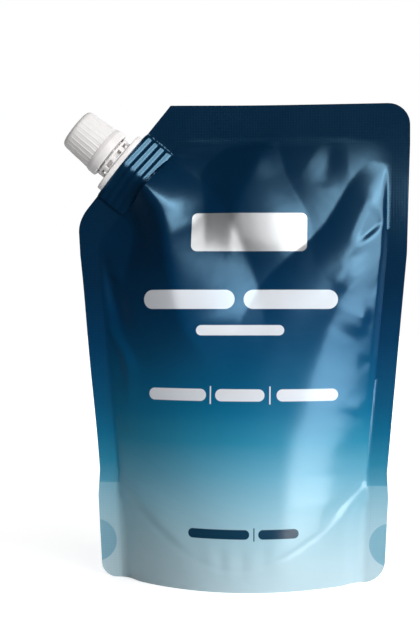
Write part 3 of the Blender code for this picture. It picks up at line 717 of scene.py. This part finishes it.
# Heights of the cap, band, neck and disc are measured from the cut, out along the spout
cap = {
    "foot": 7.2, "top": 27.8, "topRadius": 9.95, "footRadius": 10.95, "edge": 2.2, "collar": 11.6,
    "collarHeight": 5.3, "collarSlope": 1.7, "ribs": 30, "ribRise": 0.15, "ribHalf": 0.5, "ribSteps": 14,
    "ribTurn": math.radians(4), "bore": 8.4, "roof": 26.3, "skirtBore": 9.55, "skirtDepth": 1.5,
    "threadStart": 14.7, "threadLength": 6.0,
}
cap["collarTop"] = cap["foot"] + cap["collarHeight"]


def capRadius(height):  # the crests of the grip ribs
    share = (height - cap["foot"] - cap["collarHeight"]) / (cap["top"] - cap["foot"] - cap["collarHeight"])
    return blend(cap["footRadius"], cap["topRadius"], share)


def gripRib(material):  # a narrow rib that dies out in the cap's rounded edge
    low, high = cap["collarTop"] + 0.15, cap["top"] - 0.9
    sections = []
    for i in range(cap["ribSteps"] + 1):
        share = i / cap["ribSteps"]
        height = blend(low, high, share)
        above = max(height - (cap["top"] - cap["edge"]), 0)
        drop = cap["edge"] - math.sqrt(max(cap["edge"] ** 2 - above**2, 0))
        crest = capRadius(height) - drop - cap["ribRise"] * share**8
        wall = capRadius(height) - drop - cap["ribRise"]
        shape = [(wall - 0.2, 1.0), (wall, 0.95), (blend(wall, crest, 0.45), 0.62),
                 (blend(wall, crest, 0.88), 0.34), (crest, 0.1)]
        sections.append([(r, -cap["ribHalf"] * y, height) for r, y in shape]
                        + [(r, cap["ribHalf"] * y, height) for r, y in reversed(shape)])
    bm = bmesh.new()
    loft(bm, sections)
    return meshPiece(bm, "gripRib", material)


def makeCap(material):
    foot, top, collarTop, rise = cap["foot"], cap["top"], cap["collarTop"], cap["ribRise"]
    bm = bmesh.new()
    turnedMesh(bm, rounded([
        (0, top, 0),
        (capRadius(top) - rise, top, cap["edge"]),
        (capRadius(collarTop) - rise, collarTop + 0.05, 0.25),
        (cap["footRadius"] + 0.12, collarTop - 0.1, 0.2),
        (cap["collar"], collarTop - cap["collarSlope"], 1.5),
        (cap["collar"], foot, 0.8),
        (cap["skirtBore"], foot, 0.2),
        (cap["skirtBore"], foot + cap["skirtDepth"], 0.2),
        (cap["bore"], foot + cap["skirtDepth"] + 1.1, 0.3),
        (cap["bore"], cap["roof"], 0.4),
        (0, cap["roof"], 0),
    ], steps=6), 144)
    phase = math.pi / 2 + 2 * math.pi * (cap["threadStart"] - neck["threadStart"]) / thread["pitch"]
    crest = cap["bore"] - thread["height"]
    threadRidges(bm, cap["bore"], crest, cap["threadStart"], cap["threadLength"], phase)
    piece = meshPiece(bm, "screwCap", material)
    addRing(piece, gripRib(material), cap["ribs"], cap["ribTurn"], material)
    return onSpout(piece)


band = {"foot": 3.1, "top": 6.4, "radius": 9.95, "wall": 0.9, "windows": 10, "windowFoot": 0.3,
        "windowTop": 2.15, "legHalf": 1.15, "legTurn": math.radians(18), "lip": 7.5, "bridges": 10,
        "bridgeHalf": (0.22, 0.45)}


def bandLeg(inner, outer, ledge, material):
    half = band["legHalf"]
    side = ((inner + 0.03, half * 0.92), (outer - 0.12, half), (outer - 0.02, half * 0.85))
    shape = [(r, -y) for r, y in side] + list(reversed(side))
    bm = bmesh.new()
    loft(bm, [[(r, y, h) for r, y in shape] for h in (band["foot"] + 0.2, ledge + 0.1)])
    return meshPiece(bm, "bandLeg", material)


def bandBridge(middle, material):
    wide, deep = band["bridgeHalf"]
    shape = ((-wide, -deep), (wide, -deep), (wide, deep), (-wide, deep))
    bm = bmesh.new()
    loft(bm, [[(middle + dx * s, dy * s, band["top"] + h) for dx, dy in shape]
              for h, s in ((-0.1, 1.0), (0.3, 0.9), (0.5, 0.55))])
    return meshPiece(bm, "bandBridge", material)


def makeBand(material):
    outer, inner = band["radius"], band["radius"] - band["wall"]
    foot, top, ledge = band["foot"], band["top"], band["foot"] + band["windowTop"]
    bm = bmesh.new()
    turnedMesh(bm, rounded([
        (inner, top, 0.1), (outer, top, 0.25), (outer, ledge, 0.1), (inner, ledge, 0.08),
        (inner, top - 0.75, 0), (band["lip"], top - 0.5, 0.1), (band["lip"], top - 0.15, 0.1),
    ], 3), 96)
    turnedMesh(bm, rounded([
        (inner, foot + band["windowFoot"], 0.08), (outer, foot + band["windowFoot"], 0.08),
        (outer, foot, 0.1), (inner, foot, 0.08),
    ], 3), 96)
    piece = meshPiece(bm, "tearBand", material)
    addRing(piece, bandLeg(inner, outer, ledge, material), band["windows"], band["legTurn"], material)
    addRing(piece, bandBridge((outer + inner) / 2, material), band["bridges"], 0.0, material)
    return onSpout(piece)


neck = {"radius": 7.2, "bead": 0.8, "beadFoot": 6.2, "beadTop": 8.4, "beadSlope": 0.5, "mouth": 24.5,
        "mouthDepth": 9, "bore": 5.1, "mouthBore": 5.8, "threadStart": 15.3, "threadLength": 8.0,
        "flangeFoot": 0.3, "flangeTop": 2.8, "flangeWidth": 30.4, "flangeDepth": 17.0, "flangeEdge": 0.55,
        "squareness": 0.8, "steps": 96}
weldBase = {"top": 0.6, "inset": 0.6, "ribHalf": 0.6, "ribSlope": 0.15}


def addNeck(bm):
    radius, bead, step = neck["radius"], neck["radius"] + neck["bead"], neck["mouth"] - neck["mouthDepth"]
    turnedMesh(bm, rounded([
        (neck["mouthBore"], neck["mouth"], 0.3), (radius, neck["mouth"], 0.4),
        (radius, neck["beadTop"], 0.2), (bead, neck["beadTop"] - 0.8, 0.15),
        (bead, neck["beadFoot"] + neck["beadSlope"], 0.15), (radius, neck["beadFoot"], 0.2),
        (radius, 2.0, 0), (radius, 0.5, 0), (neck["bore"], 0.5, 0), (neck["bore"], step - 0.7, 0.3),
        (neck["mouthBore"], step, 0.3),
    ], 4), neck["steps"])
    threadRidges(bm, radius, radius + thread["height"], neck["threadStart"], neck["threadLength"], 0.0)


def ovalRing(bm, inset, height):
    ring = []
    for i in range(neck["steps"]):
        angle = 2 * math.pi * (i + 0.5) / neck["steps"]
        c, s = math.cos(angle), math.sin(angle)
        x = math.copysign(abs(c) ** neck["squareness"], c) * (neck["flangeWidth"] / 2 - inset)
        y = math.copysign(abs(s) ** neck["squareness"], s) * (neck["flangeDepth"] / 2 - inset)
        ring.append(bm.verts.new((x, y, height)))
    return ring


def closeRings(bm, rings):
    for one, two in zip(rings, [*rings[1:], rings[0]]):
        joinRings(bm, one, two)


def addFlange(bm):  # an oval plate with rounded edges round the bore
    foot, top, edge = neck["flangeFoot"], neck["flangeTop"], neck["flangeEdge"]
    levels = []
    for k in range(6):
        a = math.pi / 2 * k / 5
        levels.append((edge * (1 - math.sin(a)), foot + edge * (1 - math.cos(a))))
    levels += [(inset, top + foot - h) for inset, h in reversed(levels)]
    rings = [ovalRing(bm, inset, h) for inset, h in levels]
    rings += [circle(bm, neck["bore"] + 0.02, h, neck["steps"], 0.5) for h in (top, foot)]
    closeRings(bm, rings)


def baseRing(bm, grow, height):
    ring = []
    half = spout["baseHalfWidth"] + grow
    for i in range(neck["steps"]):
        a = 2 * math.pi * i / neck["steps"]
        across = math.cos(a) * half
        up = float(lens(min(abs(across), half - 0.001), grow)) * min(1, abs(math.sin(a)) * 6)
        ring.append(bm.verts.new((across, math.copysign(up, math.sin(a)), height)))
    return ring


def addWeldBase(bm):  # ribbed, under the film and round the bore
    half, sunk = weldBase["ribHalf"], -weldBase["inset"]
    wide = half + weldBase["ribSlope"]
    stations = [(sunk, -spout["baseLength"])]
    for at in reversed(spout["ribs"]):
        stations += [(sunk, -at - wide), (0, -at - half), (0, -at + half), (sunk, -at + wide)]
    stations += [(sunk, weldBase["top"])]
    rings = [baseRing(bm, grow, h) for grow, h in stations]
    rings += [circle(bm, neck["bore"], h, neck["steps"]) for h in (weldBase["top"], -spout["baseLength"])]
    closeRings(bm, rings)


def makeSpout(material):
    bm = bmesh.new()
    addNeck(bm)
    addFlange(bm)
    addWeldBase(bm)
    return onSpout(meshPiece(bm, "spoutBody", material))


liner = {"top": 26.0, "foot": 24.8, "radius": 8.05, "groove": (6.05, 6.9), "grooveDepth": 0.1, "slope": 0.15}


def makeLiner(material):
    top, foot, radius = liner["top"], liner["foot"], liner["radius"]
    low, high = liner["groove"]
    sunk = foot + liner["grooveDepth"]
    bm = bmesh.new()
    turnedMesh(bm, rounded([
        (0, top, 0), (radius, top, 0.25), (radius, foot, 0.25), (high, foot, 0.1),
        (high - liner["slope"], sunk, 0.1), (low + liner["slope"], sunk, 0.1), (low, foot, 0.1), (0, foot, 0),
    ], 4), 96)
    return onSpout(meshPiece(bm, "sealDisc", material))


filmLook = {
    "stops": [(0, (198, 224, 234)), (12, (186, 217, 229)), (25, (166, 206, 221)), (37, (140, 192, 212)),
              (51, (98, 168, 196)), (65, (42, 138, 172)), (78.5, (10, 110, 150)), (92, (6, 88, 128)),
              (106, (3, 73, 113)), (120, (2, 59, 98)), (147, (2, 43, 75)), (201, (2, 36, 62))],
    "stopsHeight": 220, "drift": 3.0, "sideShift": (43.5, 44.5, -3, 11),
    "spot": (122, 178, 200), "spotShare": 0.8, "badge": (0.64, 0.65, 0.66), "white": (0.74, 0.77, 0.82),
    "dark": (10, 58, 84), "roughness": 0.23, "badgeRoughness": 0.14,
    "metallicTop": 0.12, "metallicLow": 0.04, "badgeMetallic": 0.85, "weave": 1.25,
    "blueInk": {"IOR": 1.78, "Specular Tint": (0.4, 0.76, 1.0, 1)},
    "paleInk": {"IOR": 1.62, "Specular Tint": (1.0, 1.0, 1.0, 1)}, "inkHeights": (44, 112),
}
# Plain shapes in place of the badge and the words, each with its middle and its size
panel = {"middle": (4.5, 159.5), "size": (52, 17.5), "corner": 2.6}
whiteBars = [((-22.5, 129), (42, 8.6)), ((23.5, 129), (42, 8.6)), ((1.2, 115.2), (39, 4.6)),
             ((-27.5, 86.3), (27, 5.4)), ((1.2, 86.3), (22, 5.4)), ((31, 86.3), (27, 5.4)),
             ((-12, 86.3), (0.6, 8.0)), ((14.6, 86.3), (0.6, 8.0))]
darkBars = [((-7.8, 25.4), (27.5, 4.2)), ((18.6, 25.4), (17.5, 4.2)), ((8, 25.4), (0.5, 5.8))]
printEdge = 0.12


def boxMask(x, z, middle, size, corner):
    dx = (abs(x - middle[0]) - (size[0] / 2 - corner)).atLeast(0)
    dz = (abs(z - middle[1]) - (size[1] / 2 - corner)).atLeast(0)
    return (dx * dx + dz * dz).root().ramp(corner - printEdge, corner + printEdge, 1.0, 0.0)


def barsMask(x, z, bars):
    total = None
    for middle, size in bars:
        mask = boxMask(x, z, middle, size, min(size) / 2 - 0.05)
        total = mask if total is None else total.atLeast(mask)
    return total


def filmMaterial():
    material, g = newMaterial("printedFilm")
    place = objectPlace(g)
    x, y, z = millimetres(g, place)
    drift = g.noise(place, 9.0, 2.0)
    fine = g.noise(place, 900.0, 2.0)
    broad = g.noise(place, 60.0, 3.0)
    seal = g.node("ShaderNodeAttribute", {"attribute_name": "seal"}, out=2)
    side = seal * (abs(x) - 50).ramp(0, 6)  # the print runs further down the side seals, as far as the fold
    height = z + (drift - 0.5) * filmLook["drift"] + side * z.ramp(*filmLook["sideShift"])
    tall = filmLook["stopsHeight"]
    stops = [(h / tall, linear(*colour)) for h, colour in filmLook["stops"]]
    colour = g.node("ShaderNodeValToRGB", {"stops": stops}, {"Fac": height / tall})

    onFront = y.ramp(-0.6, -0.5, 1.0, 0.0)
    badge = boxMask(x, z, panel["middle"], panel["size"], panel["corner"]) * onFront
    white = barsMask(x, z, whiteBars) * onFront
    dark = barsMask(x, z, darkBars) * onFront
    spotX, spotZ = abs(x) - punched["middle"][0], z - punched["middle"][1]
    radius = punched["radius"]
    spot = (spotX * spotX + spotZ * spotZ).root().ramp(radius - 0.2, radius + 0.2, 1.0, 0.0)
    colour = g.mix(spot * filmLook["spotShare"], colour, (*linear(*filmLook["spot"]), 1))
    colour = g.mix(badge, colour, (*filmLook["badge"], 1))
    colour = g.mix(white, colour, (*filmLook["white"], 1))
    colour = g.mix(dark, colour, (*linear(*filmLook["dark"]), 1))

    metal = z.ramp(30, 130, filmLook["metallicLow"], filmLook["metallicTop"]) * (1 - white) * (1 - dark)
    metal = metal + badge * (filmLook["badgeMetallic"] - metal)
    rough = filmLook["roughness"] + (fine - 0.5) * 0.05 + (broad - 0.5) * 0.05
    rough = rough + badge * filmLook["badgeRoughness"]
    wave = math.pi / filmLook["weave"]
    grid = abs((x * wave).sin()).atLeast(abs((z * wave).sin())).math("POWER", 6) * seal
    relief = grid * 0.035 + (fine - 0.5) * 0.01 + (broad - 0.5) * 0.25
    bump = g.node("ShaderNodeBump", {}, {"Strength": 0.6, "Distance": 0.001, "Height": relief})
    shared = {"Base Color": colour, "Metallic": metal, "Roughness": rough, "Normal": bump}
    blueInk = g.node("ShaderNodeBsdfPrincipled", {}, {**shared, **filmLook["blueInk"]})
    paleInk = g.node("ShaderNodeBsdfPrincipled", {}, {**shared, **filmLook["paleInk"]})
    both = g.node("ShaderNodeMixShader", {}, {0: z.ramp(*filmLook["inkHeights"]), 1: paleInk, 2: blueInk})
    g.node("ShaderNodeOutputMaterial", {}, {"Surface": both})
    return material


def plasticMaterial():
    material, g = newMaterial("whitePlastic")
    place = objectPlace(g)
    fine = g.noise(place, 1400.0, 2.0)
    flow = g.noise(place, 110.0, 3.0)
    colour = g.mix(flow.ramp(0.3, 0.7), (0.8, 0.775, 0.765, 1), (0.84, 0.82, 0.812, 1))
    rough = 0.4 + (fine - 0.5) * 0.1 + (flow - 0.5) * 0.08
    bump = g.node("ShaderNodeBump", {}, {"Strength": 0.35, "Distance": 0.0004,
                                         "Height": fine * 0.012 + flow * 0.12})
    finishMaterial(g, {"Base Color": colour, "Roughness": rough, "Normal": bump, "IOR": 1.46})
    return material


def foamMaterial():
    material, g = newMaterial("linerFoam")
    cells = g.node("ShaderNodeTexVoronoi", {}, {"Vector": objectPlace(g), "Scale": 2600.0})
    colour = g.mix(cells, (0.86, 0.86, 0.83, 1), (0.8, 0.8, 0.77, 1))
    bump = g.node("ShaderNodeBump", {}, {"Strength": 0.4, "Distance": 0.0003, "Height": cells})
    finishMaterial(g, {"Base Color": colour, "Roughness": 0.62 + cells * 0.1, "Normal": bump})
    return material


film, plastic, foam = filmMaterial(), plasticMaterial(), foamMaterial()
ringShapes = ringTree()
for piece, body, node, slot in (
    (makePouch(film), "pack", "pouch", "film"),
    (makeSpout(plastic), "pack", "spout", "white_plastic"),
    (makeBand(plastic), "pack", "tear_band", "white_plastic"),
    (makeCap(plastic), "cap", "cap", "white_plastic"),
    (makeLiner(foam), "liner", "cap_liner", "liner_foam"),
):
    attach(piece, body)
    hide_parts(node)
print("pieces made")


# Lamps, floor and camera, in metres. The glow's reach and the sensor are in millimetres, and the focal
# length and the frame's height in pixels
lamps = {
    "keySoftbox": {"turn": 52, "lift": 14, "away": 1.15, "size": (0.62, 1.02), "radiance": 5.2},
    "upperSoftbox": {"turn": 30, "lift": 25, "away": 1.2, "size": (0.62, 0.38), "radiance": 6.2},
    "rearSoftbox": {"turn": 148, "lift": 24, "away": 1.3, "size": (0.7, 0.9), "radiance": 3.2},
}
lampTarget = Vector((0, 0, 0.11))
surroundings = {"ambient": 0.14, "behind": 0.4, "darkFront": 0.02}
floorLook = {"half": 6, "colour": (0.82, 0.82, 0.82, 1), "glow": (150, 900, 0.6, 1.0)}
view = {"focal": 1316.5, "frameHeight": 620, "sensor": 36.0, "turn": 6.526, "lift": -0.054,
        "away": 0.6094, "target": (-0.0147, 0, 0.12423), "clip": (0.05, 30)}


def toward(turn, lift):  # a direction given in degrees round from the front and up from level
    turn, lift = math.radians(turn), math.radians(lift)
    return Vector((math.sin(turn) * math.cos(lift), -math.cos(turn) * math.cos(lift), math.sin(lift)))


def addLamp(name, box):
    light = bpy.data.lights.new(name, "AREA")
    light.shape = "RECTANGLE"
    light.size, light.size_y = box["size"]
    light.energy = box["radiance"] * math.pi * light.size * light.size_y
    lamp = bpy.data.objects.new(name, light)
    bpy.context.scene.collection.objects.link(lamp)
    direction = toward(box["turn"], box["lift"])
    lamp.location = lampTarget + direction * box["away"]
    lamp.rotation_euler = (-direction).to_track_quat("-Z", "Y").to_euler()
    lamp.visible_camera = False


def makeFloor():
    bm = bmesh.new()
    bmesh.ops.create_grid(bm, x_segments=1, y_segments=1, size=floorLook["half"])
    mesh = bpy.data.meshes.new("floor")
    bm.to_mesh(mesh)
    bm.free()
    floor = bpy.data.objects.new("floor", mesh)
    bpy.context.scene.collection.objects.link(floor)
    material, g = newMaterial("paleFloor")
    seen = g.node("ShaderNodeLightPath", out=0)
    x, y, z = millimetres(g, objectPlace(g))
    glow = (x * x + y * y).root().ramp(*floorLook["glow"])
    matt = g.node("ShaderNodeBsdfDiffuse", {}, {"Color": floorLook["colour"]})
    glow = g.node("ShaderNodeEmission", {}, {"Color": (1, 1, 1, 1), "Strength": seen * glow})
    both = g.node("ShaderNodeAddShader", {}, {0: matt, 1: glow})
    g.node("ShaderNodeOutputMaterial", {}, {"Surface": both})
    mesh.materials.append(material)
    floor.visible_glossy = False


def makeWorld():  # white to the camera, soft light behind the pack and dark in front of it
    world = bpy.data.worlds.new("studio")
    world.use_nodes = True
    world.node_tree.nodes.clear()
    bpy.context.scene.world = world
    g = Graph(world.node_tree)
    sx, sy = g.parts(g.node("ShaderNodeTexCoord", out=0), 2)
    behind = surroundings["behind"]
    ambient = surroundings["ambient"] * (0.5 + sx.ramp(-0.8, 0.8)) + sy.ramp(0.0, 0.6) * behind
    mirrored = surroundings["darkFront"] + sy.ramp(0.0, 0.4) * behind
    camera, glossy, passing = [g.node("ShaderNodeLightPath", out=i) for i in (0, 3, 6)]
    plain = camera.atLeast(passing)
    strength = plain + (1 - plain) * (glossy * mirrored + (1 - glossy) * ambient)
    shade = g.node("ShaderNodeBackground", {}, {"Color": (1, 1, 1, 1), "Strength": strength})
    g.node("ShaderNodeOutputWorld", {}, {"Surface": shade})


def makeCamera():  # fitted to the outline in the photograph
    data = bpy.data.cameras.new("camera")
    camera = bpy.data.objects.new("camera", data)
    bpy.context.scene.collection.objects.link(camera)
    data.sensor_width = view["sensor"]
    data.lens = view["focal"] / view["frameHeight"] * view["sensor"]
    data.clip_start, data.clip_end = view["clip"]
    back = toward(view["turn"], view["lift"])
    camera.location = Vector(view["target"]) + back * view["away"]
    camera.rotation_mode = "QUATERNION"
    camera.rotation_quaternion = (-back).to_track_quat("-Z", "Y")
    bpy.context.scene.camera = camera


for name, box in lamps.items():
    addLamp(name, box)
makeFloor()
makeWorld()
makeCamera()
bpy.context.scene.view_settings.view_transform = "Standard"
print("studio made")
